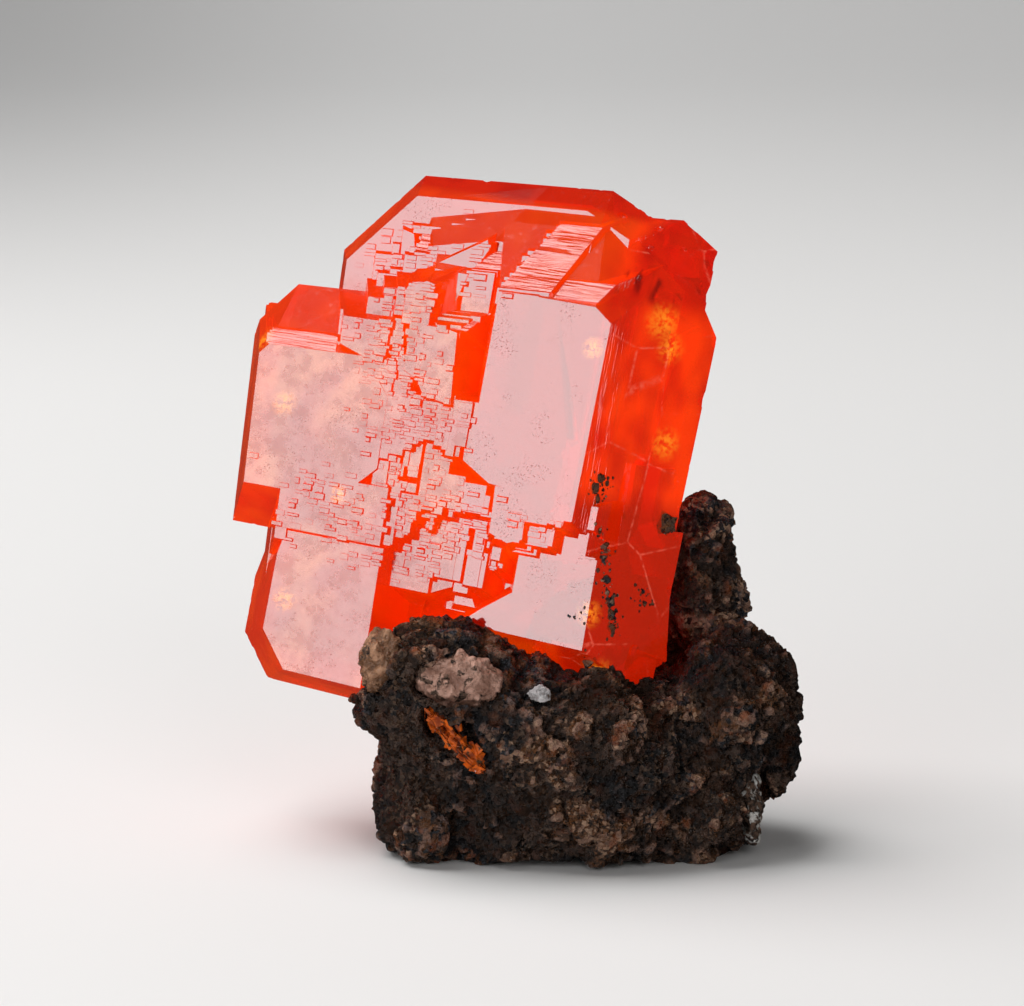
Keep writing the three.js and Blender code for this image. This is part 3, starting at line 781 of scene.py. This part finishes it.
def crystal_masks(tree, place):
    """All masks by name. The limits of the ramps over x and y are metres in the crystal's axes."""
    x, y, _ = axes_of(tree, place)
    flat = facing(tree, (0, 0, 1), 0.95, 0.99)
    broken = calculate(tree, "SUBTRACT", 1.0, flat)
    fine = noise(tree, place, 0.0005, 2.0, 0.7)
    mottle = noise_mask(tree, place, 0.0015, 3.0, 0.62, 0.34, 0.66)
    depths = noise_mask(tree, place, 0.0050, 2.0, 0.6, 0.38, 0.62, stretch=(1, 0.6, 1))

    # The right terrace and the upper pane are the cleanest mirrors; the rest is milky.
    right = ramp(tree, x, 0.003, 0.0045)
    pane = ramp(tree, y, 0.0115, 0.0135)
    edge = times(tree, ramp(tree, x, 0.0125, 0.014), broken)
    lobe = times(tree, ramp(tree, x, 0.0132, 0.0152), ramp(tree, y, 0.0125, 0.0150), broken)
    bevel = times(tree, ramp(tree, y, 0.0205, 0.0215), broken)

    # Painted highlights: where the broken glassy mass meets itself, thin pale lines are painted along the
    # ridges between its hollows.
    ridge_highlights = times(tree, ramp(tree, cell_borders(tree, place, 0.0065), 0.022, 0.0), edge)
    ridge_highlights = times(tree, ridge_highlights, ramp(tree, fine, 0.35, 0.62), ramp(tree, depths, 0.9, 0.2), 0.45)
    stripes = noise_mask(tree, place, 0.0008, 1.0, 0.5, 0.43, 0.58, stretch=(1, 0.15, 0.15))
    # Painted shade of the hollows, drawn in streaks.
    dark = ramp(tree, spots(tree, place, HOLLOW_SHADE_SPOTS), 0.0, 0.5)
    specks = noise_mask(tree, place, 0.00016, 1.0, 0.5, 0.60, 0.66)
    gathered = noise_mask(tree, place, 0.0030, 2.0, 0.6, 0.46, 0.60)
    return {
        "flat": flat,
        "broken": broken,
        "fine": fine,
        "cloud": noise_mask(tree, place, 0.007, 2.0, 0.6, 0.38, 0.62),
        "mottle": mottle,
        "mottled flat": times(tree, mottle, flat),
        "mirror": times(tree, calculate(tree, "MAXIMUM", right, pane), flat),
        "edge": edge,
        "depths": depths,
        "deep edge": times(tree, edge, depths),
        "low edge": times(tree, edge, ramp(tree, y, -0.001, -0.004)),
        "strip": times(tree, ramp(tree, x, 0.0158, 0.0150), edge),
        "deep": calculate(tree, "MAXIMUM", lobe, bevel),
        # Painted shade of the hollows.
        "dark": times(tree, dark, stripes),
        # Painted glow, where light shines through thin veils.
        "painted amber glow": times(tree, spots(tree, place, PAINTED_GLOW_SPOTS), ramp(tree, fine, 0.35, 0.6)),
        # Painted highlights along the ridges.
        "ridge_highlights": ridge_highlights,
        "specks": times(tree, specks, flat, gathered, 0.6),
    }


print("middle of the crystal, in mm:", [round(x / MM, 1) for x in CRYSTAL_PLACE])

# %% [markdown]
# Wulfenite is glassy and strongly coloured: light goes in, turns orange-red and comes out again.
# Plain transmission with absorption inside gives the depth, a share of diffuse colour stands for
# the many tiny veils inside the real crystal, and a faint painted glow, as emission, for the light they
# scatter.
# %% Wulfenite finish
STRIATION = 0.015           # how much the streaks are drawn out along a growth face
INSIDE_COLOUR = (0.995, 0.42, 0.02, 1)
INSIDE_DENSITY = 850


def body_colour(tree, masks):
    """The colour of the veils, from the common tones to the rare marks on top."""
    veils = blend(tree, masks["cloud"], (0.45, 0.055, 0.004), (0.66, 0.200, 0.004))
    return layered(tree, veils, [
        (masks["mottled flat"], (0.46, 0.060, 0.006)),
        (masks["mirror"], (0.42, 0.020, 0.006)),
        (masks["broken"], (0.84, 0.060, 0.005)),
        (masks["deep edge"], (0.92, 0.060, 0.003)),
        (masks["low edge"], (0.40, 0.030, 0.004)),
        (masks["deep"], (0.62, 0.022, 0.002)),
        # painted shade of the hollows
        (masks["dark"], (0.22, 0.015, 0.002)),
        # painted glow where light shines through
        (masks["painted amber glow"], (1.0, 0.36, 0.02)),
        # painted highlights along the ridges
        (masks["ridge_highlights"], (0.90, 0.300, 0.200)),
        (masks["specks"], (0.34, 0.030, 0.005)),
    ])


def painted_inner_glow(tree, masks):
    """Painted glow, as emission, for the light that the veils inside scatter back; strongest in the
    broken mass.
    """
    cloud, depths = masks["cloud"], masks["depths"]
    return layered(tree, blend(tree, cloud, (0.18, 0.018, 0.0), (0.40, 0.125, 0.0)), [
        (masks["broken"], blend(tree, cloud, (0.80, 0.050, 0.0), (1.20, 0.12, 0.0))),
        (masks["edge"], blend(tree, depths, (0.70, 0.020, 0.0), (1.95, 0.120, 0.0))),
        (masks["low edge"], (0.70, 0.030, 0.0)),
        (masks["deep"], blend(tree, depths, (0.40, 0.006, 0.0), (0.90, 0.030, 0.0))),
        # painted shade: less glow in the hollows
        (masks["dark"], (0.16, 0.006, 0.0)),
        (masks["mirror"], (0.12, 0.006, 0.0)),
        # painted highlights along the ridges
        (masks["ridge_highlights"], (1.6, 0.45, 0.25)),
        # painted glow where light shines through
        (masks["painted amber glow"], (1.9, 0.70, 0.03)),
    ])


def polish(tree, masks):
    """Roughness: nearly a mirror on the clean terraces, and milky where the face is mottled."""
    veil = calculate(tree, "ADD", times(tree, masks["mottle"], 0.09), 0.13)
    veil = times(tree, veil, calculate(tree, "SUBTRACT", masks["flat"], masks["mirror"]))
    grit = times(tree, ramp(tree, masks["fine"], 0.55, 0.75), 0.08)
    veil = calculate(tree, "ADD", veil, grit)
    veil = calculate(tree, "MAXIMUM", veil, times(tree, masks["specks"], 0.50))
    return calculate(tree, "ADD", veil, 0.07)


def lean_outwards(tree, normal, amount):
    """Turns a normal towards the crystal's c axis, fully so where the amount is 1."""
    away = vector_math(tree, "SUBTRACT", a=CRYSTAL_TURN @ Vector((0, 0, 1)), b=normal)
    leaning = vector_math(tree, "ADD", a=normal, b=vector_math(tree, "SCALE", a=away, scale=amount))
    return vector_math(tree, "NORMALIZE", a=leaning)


def ledged_normal(tree, place, masks):
    """Fine ledges on the slopes: streaks in which the normal leans out, between slight grooves."""
    side = facing(tree, (1, 0, 0), 0.66, 0.70)
    along_u = vector_math(tree, "MULTIPLY", a=place, b=(STRIATION, 1, 1))
    along_v = vector_math(tree, "MULTIPLY", a=place, b=(1, STRIATION, 1))
    drawn_out = blend(tree, side, along_u, along_v, "VECTOR")
    streak = noise(tree, drawn_out, 0.00020, 2.0, 0.65)
    strip = times(tree, masks["strip"], side, 0.36)
    share = calculate(tree, "MAXIMUM", stored_value(tree, "ledges"), strip)
    share = times(tree, share, masks["broken"])
    ledges = calculate(tree, "ADD", streak, times(tree, share, 0.22))
    ledges = times(tree, ramp(tree, ledges, 0.57, 0.66), ramp(tree, share, 0.0, 0.5))
    grooves = times(tree, streak, calculate(tree, "ADD", share, 0.08), masks["broken"])
    normal = tree.nodes.new("ShaderNodeNewGeometry").outputs["Normal"]
    return bump(tree, grooves, 0.05 * MM, lean_outwards(tree, normal, ledges))


def wulfenite_finish():
    """Clear orange-red crystal with veils, a painted glow and absorption inside."""
    material, tree, shader = new_material("wulfenite")
    place = crystal_coordinates(tree)
    masks = crystal_masks(tree, place)
    feed_all(tree, shader, {
        "Base Color": body_colour(tree, masks),
        # Painted glow: emission that stands for light scattered inside the crystal.
        "Emission Color": painted_inner_glow(tree, masks),
        "Emission Strength": 0.25,
        "Roughness": polish(tree, masks),
        "Normal": ledged_normal(tree, place, masks),
        "IOR": 2.28,
        "Transmission Weight": 0.65,
    })
    # The faint painted glow is too weak to be worth sampling as a lamp.
    material.cycles.emission_sampling = "NONE"
    absorption = tree.nodes.new("ShaderNodeVolumeAbsorption")
    absorption.inputs["Color"].default_value = INSIDE_COLOUR
    absorption.inputs["Density"].default_value = INSIDE_DENSITY
    output = tree.nodes["Material Output"]
    tree.links.new(absorption.outputs["Volume"], output.inputs["Volume"])
    return material


finish_with(crystal, wulfenite_finish())

# %% [markdown]
# The rock is iron oxide: nearly black where it is dense, brown and rusty where it crumbles, with
# tan and pinkish grains that glint.
# %% Rock finish
def warped(tree, place, size, reach):
    """The same coordinates, pushed about by noise so that shapes in them lose their order."""
    push = noise(tree, place, size, 1.0, 0.5, output="Color")
    return vector_math(tree, "ADD", a=place, b=vector_math(tree, "SCALE", a=push, scale=reach))


def mineral_grains(tree, place, size):
    """Random cells: how far a point is from its cell's middle, and two random numbers per cell."""
    cells = tree.nodes.new("ShaderNodeTexVoronoi")
    feed_all(tree, cells, {"Vector": place, "Scale": 1 / size})
    numbers = tree.nodes.new("ShaderNodeSeparateColor")
    tree.links.new(cells.outputs["Color"], numbers.inputs["Color"])
    return cells.outputs["Distance"], numbers.outputs["Red"], numbers.outputs["Green"]


def rock_finish():
    """Black and brown patches, grains of several tones in zones, rust, and painted shade in the crevices.
    """
    material, tree, shader = new_material("iron_rock")
    place = texture_place(tree)
    loose = warped(tree, place, 0.0012, 0.0016)
    _, pick, shine = mineral_grains(tree, loose, 0.00075)
    middle, small_pick, small_shine = mineral_grains(tree, place, 0.00030)
    fine = noise(tree, place, 0.0004, 3.0, 0.75)
    patches = noise_mask(tree, place, 0.006, 3.0, 0.65, 0.46, 0.53)
    zone = noise_mask(tree, place, 0.0070, 2.0, 0.60, 0.44, 0.58)
    rust = noise_mask(tree, place, 0.0018, 2.0, 0.7, 0.54, 0.66)
    large = ramp(tree, stored_value(tree, "grain"), 0.72, 0.98)
    # Painted shade: darker where the surface was pushed in.
    crevice_shade = ramp(tree, stored_value(tree, "crevice"), 0.5, 1.0)

    brown = blend(tree, ramp(tree, fine, 0.38, 0.66), (0.018, 0.008, 0.004), (0.200, 0.080, 0.030))
    black = blend(tree, ramp(tree, fine, 0.40, 0.68), (0.005, 0.005, 0.006), (0.060, 0.063, 0.075))
    colour = layered(tree, blend(tree, patches, black, brown), [
        (ramp(tree, pick, 0.55, 0.75), (0.110, 0.046, 0.020)),
        (times(tree, ramp(tree, pick, 0.74, 0.92), zone), (0.350, 0.195, 0.135)),
        (times(tree, ramp(tree, small_pick, 0.72, 0.90), zone), (0.440, 0.260, 0.165)),
        (times(tree, rust, 0.7), (0.230, 0.060, 0.018)),
        (times(tree, large, 0.45), (0.360, 0.205, 0.155)),
        # painted shade in the crevices
        (times(tree, crevice_shade, 0.75), (0.007, 0.004, 0.003)),
    ])
    dull, small_dull = ramp(tree, shine, 0.80, 0.55), ramp(tree, small_shine, 0.85, 0.60)
    gloss = calculate(tree, "MINIMUM", dull, small_dull)
    height = calculate(tree, "ADD", times(tree, fine, 1.3), times(tree, middle, 0.6))
    feed_all(tree, shader, {
        "Base Color": colour,
        "Roughness": calculate(tree, "MAXIMUM", gloss, 0.22),
        "IOR": 1.8,
        "Normal": bump(tree, height, 0.55 * MM),
    })
    return material


finish_with(rock, rock_finish())

# %% [markdown]
# The quartz and the white crust are the frame's smooth grains, remeshed finely, pressed flat
# against the rock and roughened with the same random fields as the rock itself.
# %% Quartz and crust
def craggy(name, node_name, face, squeeze, shift, bumps, seed):
    """A frame grain, squeezed about its middle and shifted along x, y and z, then roughened."""
    made = remeshed(name, node_name, face)
    points = values_of(made.data.vertices, "co")
    middle = (points.min(axis=0) + points.max(axis=0)) / 2
    points = middle + (points - middle) * np.array(squeeze) + np.array(shift)
    set_points(made.data, points)
    depth, tone = grains(points, bumps * 3, seed)
    swelling = 1.6 * rough(points, bumps * 5, 3, seed + 7)
    push = bumps * (swelling + np.minimum(depth, 0.4) * 2 + tone - 1)
    moved = points + values_of(made.data.vertices, "normal") * push[:, None]
    set_points(made.data, moved * MM)
    made.data.polygons.foreach_set("use_smooth", np.full(len(made.data.polygons), True))
    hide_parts(node_name)
    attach(made, "root")
    print(name, "has", len(made.data.polygons), "faces")
    return made


knob = craggy("peach_quartz", "quartz_knob", 0.16, (1.0, 1.0, 0.9), (0.35, 0.2, -0.2), 0.22, 131)
lens = craggy("pink_quartz", "quartz_lens", 0.16, (1.12, 0.9, 1.15), (0.0, 0.45, -0.1), 0.24, 151)
grain = craggy("pale_grain", "white_grain", 0.09, (1.15, 1.0, 1.1), (0.0, 0.1, 0.0), 0.12, 171)
crust = craggy("crusted_edge", "white_crust", 0.16, (0.60, 0.95, 1.0), (-0.55, 0.0, 0.0), 0.26, 191)

# %% [markdown]
# The four stones share one node group: clouds of a dark and a light tone, half hidden under soil.
# Its sockets are named, so that each stone's material sets only its own tones and amounts.
# %% Stone finish
STONE_INPUTS = {"Place": "Vector", "Dark": "Color", "Light": "Color", "Soil": "Float", "Polish": "Float"}
STONE_OUTPUTS = {"Colour": "Color", "Roughness": "Float", "Height": "Float"}


def mottled_stone():
    """The node group of the stones."""
    group = bpy.data.node_groups.new("mottled_stone", "ShaderNodeTree")
    for direction, sockets in (("INPUT", STONE_INPUTS), ("OUTPUT", STONE_OUTPUTS)):
        for name, kind in sockets.items():
            group.interface.new_socket(name, in_out=direction, socket_type="NodeSocket" + kind)
    given = group.nodes.new("NodeGroupInput").outputs
    place = given["Place"]
    clouds = noise_mask(group, place, 0.0015, 3.0, 0.65, 0.38, 0.64)
    flecks = noise(group, place, 0.0004, 3.0, 0.7)
    cover = calculate(group, "ADD", noise(group, place, 0.0012, 3.0, 0.7), given["Soil"])
    soil = ramp(group, cover, 0.58, 0.66)
    grit = blend(group, ramp(group, flecks, 0.4, 0.6), (0.020, 0.012, 0.008), (0.15, 0.085, 0.055))
    clean = blend(group, clouds, given["Dark"], given["Light"])
    feed_all(group, group.nodes.new("NodeGroupOutput"), {
        "Colour": blend(group, soil, clean, grit),
        "Roughness": calculate(group, "MAXIMUM", times(group, soil, 0.7), given["Polish"]),
        "Height": calculate(group, "ADD", flecks, clouds),
    })
    return group


stone_group = mottled_stone()


def stone_finish(name, dark, light, polished, transmission, soil):
    """Mottled stone; `soil` is how much of it is hidden under specks of the iron rock."""
    material, tree, shader = new_material(name)
    stone = tree.nodes.new("ShaderNodeGroup")
    stone.node_tree = stone_group
    place = texture_place(tree)
    values = {"Place": place, "Dark": dark, "Light": light, "Soil": soil, "Polish": polished}
    feed_all(tree, stone, values)
    feed_all(tree, shader, {
        "Base Color": stone.outputs["Colour"],
        "Roughness": stone.outputs["Roughness"],
        "Normal": bump(tree, stone.outputs["Height"], 0.2 * MM),
        "Transmission Weight": transmission,
        "IOR": 1.54,
    })
    return material


peach = stone_finish("peach_quartz", (0.20, 0.095, 0.05), (0.58, 0.31, 0.18), 0.25, 0.25, 0.03)
pink = stone_finish("pink_quartz", (0.30, 0.150, 0.105), (0.66, 0.38, 0.29), 0.3, 0.1, 0.03)
pale = stone_finish("pale_grain", (0.40, 0.37, 0.37), (0.75, 0.72, 0.72), 0.35, 0.1, 0.0)
white = stone_finish("white_crust", (0.45, 0.42, 0.38), (0.82, 0.80, 0.77), 0.6, 0.0, 0.16)
for stone, finish in ((knob, peach), (lens, pink), (grain, pale), (crust, white)):
    finish_with(stone, finish)

# %% [markdown]
# The tuft is flaky wulfenite: thin square plates that stand out of the rock at all angles. They
# are scattered over the frame's tuft, each a flat box turned by three random angles.
# %% Tuft of flakes
FLAKE_COUNT = 120
FLAKE_LENGTH = (0.5, 1.6)       # smallest and largest, in millimetres, as for the next two
FLAKE_WIDTH = (0.25, 0.7)
FLAKE_THICKNESS = (0.05, 0.10)
BOX = np.array([
    [-1, -1, -1], [1, -1, -1], [1, 1, -1], [-1, 1, -1],
    [-1, -1, 1], [1, -1, 1], [1, 1, 1], [-1, 1, 1]]) / 2
BOX_FACES = np.array([
    [0, 3, 2, 1], [4, 5, 6, 7], [0, 1, 5, 4], [1, 2, 6, 5], [2, 3, 7, 6], [3, 0, 4, 7]])


def turned(points, angle, first, second):
    """Each row of points turned by its own angle in the plane of two axes."""
    cos, sin = np.cos(angle)[:, None], np.sin(angle)[:, None]
    result = points.copy()
    result[:, :, first] = points[:, :, first] * cos - points[:, :, second] * sin
    result[:, :, second] = points[:, :, first] * sin + points[:, :, second] * cos
    return result


def tuft_of_flakes(rng):
    """Flakes strewn along a line from the upper left to the lower right of the frame's tuft.

    Each is turned about x, z and y, where -0.88 radians lays it along the line. All flakes are
    kept inside the tuft's box.
    """
    solid = values_of(nodes["small_wulfenite"].data.vertices, "co") / MM
    low, high = solid.min(axis=0), solid.max(axis=0)
    along = rng.random(FLAKE_COUNT)
    middle = np.column_stack([
        low[0] + 0.5 + (high[0] - low[0] - 0.9) * along + rng.normal(0, 0.30, FLAKE_COUNT),
        low[1] + 0.9 + rng.random(FLAKE_COUNT) * 1.2,
        high[2] - 0.6 - (high[2] - low[2] - 1.2) * along + rng.normal(0, 0.45, FLAKE_COUNT)])
    sizes = (FLAKE_LENGTH, FLAKE_WIDTH, FLAKE_THICKNESS)
    size = np.column_stack([rng.uniform(*limits, FLAKE_COUNT) for limits in sizes])
    points = BOX[None] * size[:, None, :]
    points = turned(points, rng.uniform(-1.6, 1.6, FLAKE_COUNT), 1, 2)
    points = turned(points, rng.normal(0.1, 0.35, FLAKE_COUNT), 0, 1)
    points = turned(points, rng.normal(-0.88, 0.30, FLAKE_COUNT), 0, 2)
    points = (points + middle[:, None, :]).reshape(-1, 3)
    points = np.clip(points, low, high)
    faces = repeated_faces(BOX_FACES, FLAKE_COUNT, 8)
    return object_from_arrays("flaky_wulfenite", points * MM, faces, smooth=False)


tuft = tuft_of_flakes(rng)
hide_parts("small_wulfenite")
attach(tuft, "root")


def flake_finish():
    """Orange flakes, darker in patches and stained by the rock."""
    material, tree, shader = new_material("flaky_wulfenite")
    place = texture_place(tree)
    patches = noise_mask(tree, place, 0.0010, 4.0, 0.65, 0.36, 0.62)
    stain = noise_mask(tree, place, 0.0007, 3.0, 0.6, 0.56, 0.66)
    layers = [(patches, (0.95, 0.17, 0.012)), (stain, (0.10, 0.045, 0.018))]
    feed_all(tree, shader, {
        "Base Color": layered(tree, (0.32, 0.045, 0.006), layers),
        "Roughness": 0.22,
        "Transmission Weight": 0.15,
        "IOR": 2.0,
    })
    return material


finish_with(tuft, flake_finish())

# %% [markdown]
# Dark crumbs of the rock stick to the crystal at its lower right. A ray from the front finds the
# crystal's surface at each reading, and a small uneven ball is sunk halfway into it there.
# %% Crumbs on the crystal
# Readings u and v, and the radius, in millimetres.
CRUMBS = np.array([
    (15.3, -5.0, 0.20), (15.9, -6.2, 0.30), (16.1, -7.3, 0.28), (16.5, -8.8, 0.36), (17.2, -10.6, 0.42),
    (17.5, -11.6, 0.34), (17.9, -12.7, 0.42), (14.5, -0.8, 0.40), (14.2, -1.7, 0.46), (14.6, -2.5, 0.30),
    (20.4, -3.6, 0.75), (16.6, -15.9, 0.42), (17.2, -16.6, 0.40), (20.0, -10.2, 0.20), (19.7, -9.3, 0.22),
    (14.7, -12.4, 0.14), (15.2, -1.2, 0.22), (16.9, -9.8, 0.24), (17.9, -11.9, 0.22), (16.2, -6.7, 0.18),
])
SPECKS_EACH = 9                 # much smaller specks strewn around every crumb
SPECK_REACH = 0.42              # how far they lie from it, in millimetres
SPECK_RADIUS = (0.05, 0.13)
CRUMB_SQUASH = (1.0, 0.5, 1.2)  # crumbs are flat from front to back


def crumbs_on_crystal(rng):
    """One piece with all crumbs and specks whose ray meets the crystal."""
    strewn = np.repeat(CRUMBS, SPECKS_EACH, axis=0)
    strewn[:, :2] += rng.normal(0, SPECK_REACH, (len(strewn), 2))
    strewn[:, 2] = rng.uniform(*SPECK_RADIUS, len(strewn))
    placed = np.vstack([CRUMBS, strewn])
    hits = [hit for hit, _ in front_hits(crystal_surface, placed[:, 0], placed[:, 1])]
    found = [i for i, hit in enumerate(hits) if hit is not None]
    middle = np.array([hits[i] for i in found])
    return uneven_balls("crumbs", middle, placed[found, 2], CRUMB_SQUASH, 0.7, 0.30, 17, unit=MM)


crumbs = crumbs_on_crystal(rng)
finish_with(crumbs, rock.data.materials[0])
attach(crumbs, "root")
